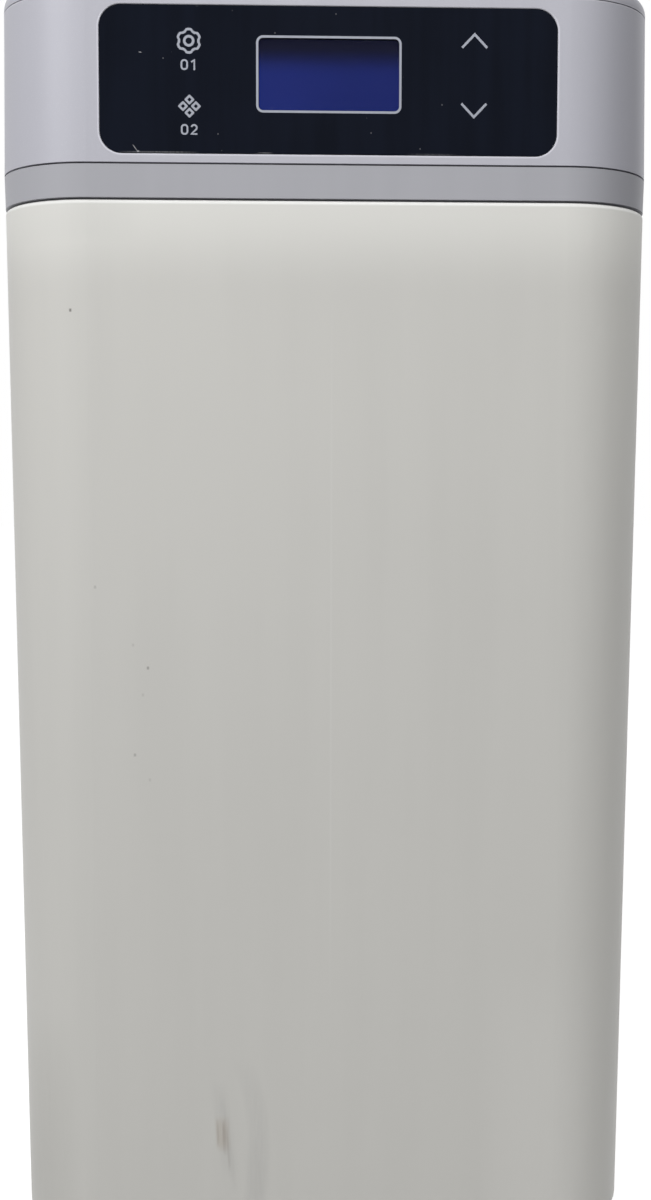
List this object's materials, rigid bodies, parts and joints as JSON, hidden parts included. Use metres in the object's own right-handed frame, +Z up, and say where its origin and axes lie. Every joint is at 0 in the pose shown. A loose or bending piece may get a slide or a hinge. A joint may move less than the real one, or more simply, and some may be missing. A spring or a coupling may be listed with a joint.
{
  "type": "water softener",
  "caption": "Compact cabinet water softener with a hinged salt lid, touch control panel, resin vessel, motor-driven disc valve and brine float.",
  "frame": {"origin": "centre of the cabinet's footprint, on the floor", "axes": "+Z up, +X to the right seen from the front, the front panel faces -Y"},
  "size_m": [0.3567, 0.506, 0.636],
  "materials": {
    "ivory_plastic": "smooth moulded ivory plastic, slightly satin",
    "grey_plastic": "mid grey satin plastic",
    "silver_plastic": "silver painted plastic, satin",
    "black_gloss": "high gloss near-black fascia",
    "clear_window": "clear window",
    "display_blue": "blue display",
    "board_green": "circuit board",
    "black_plastic": "black moulded plastic",
    "black_rubber": "cable jacket",
    "valve_black": "glass-filled black plastic",
    "white_plastic": "white moulded plastic",
    "tube_white": "translucent white tube",
    "rubber": "black seal rubber",
    "brass": "turned brass",
    "steel": "zinc-plated steel",
    "vessel_blue": "blue wound fibreglass",
    "resin_amber": "amber resin beads",
    "ceramic": "ground ceramic"
  },
  "bodies": {
    "cabinet": {"cabinet_tank": "ivory_plastic", "deck_collar": "grey_plastic", "head_shell": "silver_plastic", "salt_chute": "grey_plastic", "lid_hinge_pins": "steel", "valve_hood": "silver_plastic", "head_screws": "steel", "hood_screws": "steel", "panel_fascia": "black_gloss", "display_window": "clear_window", "lcd_module": "display_blue", "control_board": "board_green", "touch_contacts": "rubber", "electronics_cover": "black_plastic", "cover_screws": "steel", "control_cable": "black_rubber", "cable_clips": "black_plastic", "port_plate": "black_plastic", "port_plate_screws": "steel", "power_jack": "black_plastic", "overflow_elbow": "white_plastic", "overflow_gasket": "rubber", "overflow_nut": "white_plastic", "inlet_adapter": "brass", "outlet_adapter": "brass", "port_seals": "rubber", "union_nuts": "black_plastic", "drain_fitting": "white_plastic", "resin_vessel": "vessel_blue", "vessel_base": "black_plastic", "riser_pipe": "white_plastic", "lower_strainer": "white_plastic", "upper_strainer": "white_plastic", "resin_bed": "resin_amber", "neck_o_ring": "rubber", "valve_body": "valve_black", "injector_cap": "grey_plastic", "fixed_disc": "ceramic", "shaft_seal": "rubber", "drive_plate": "valve_black", "drive_screws": "steel", "gear_motor": "steel", "position_sensor": "black_plastic", "brine_line": "tube_white", "brine_well": "white_plastic", "well_cap": "grey_plastic", "float_valve": "valve_black", "air_check": "white_plastic", "salt_grid": "white_plastic"},
    "lid": {"salt_lid": "silver_plastic", "lid_bumpers": "rubber"},
    "valve_rotor": {"drive_gear": "white_plastic", "drive_shaft": "white_plastic", "moving_disc": "ceramic", "index_magnet": "steel"},
    "motor_rotor": {"motor_shaft": "steel", "drive_pinion": "brass"},
    "brine_float": {"float_rod": "white_plastic", "float_cup": "white_plastic", "float_grommets": "rubber"}
  },
  "joints": [
    {"name": "lid_hinge", "type": "hinge", "parent": "cabinet", "child": "lid", "pos_m": [0, 0.034, 0.632], "axis": [-1, 0, 0], "range_deg": [0, 100]},
    {"name": "valve_spin", "type": "hinge", "parent": "cabinet", "child": "valve_rotor", "pos_m": [-0.045, 0.122, 0.6], "axis": [0, 0, 1], "continuous": true},
    {"name": "motor_spin", "type": "hinge", "parent": "cabinet", "child": "motor_rotor", "pos_m": [0.005, 0.122, 0.6], "axis": [0, 0, 1], "continuous": true},
    {"name": "float_slide", "type": "slide", "parent": "cabinet", "child": "brine_float", "axis": [0, 0, 1], "range_m": [0, 0.015]}
  ],
  "couplings": [
    {"joint": "motor_spin", "follows": "valve_spin", "ratio": -4}
  ]
}
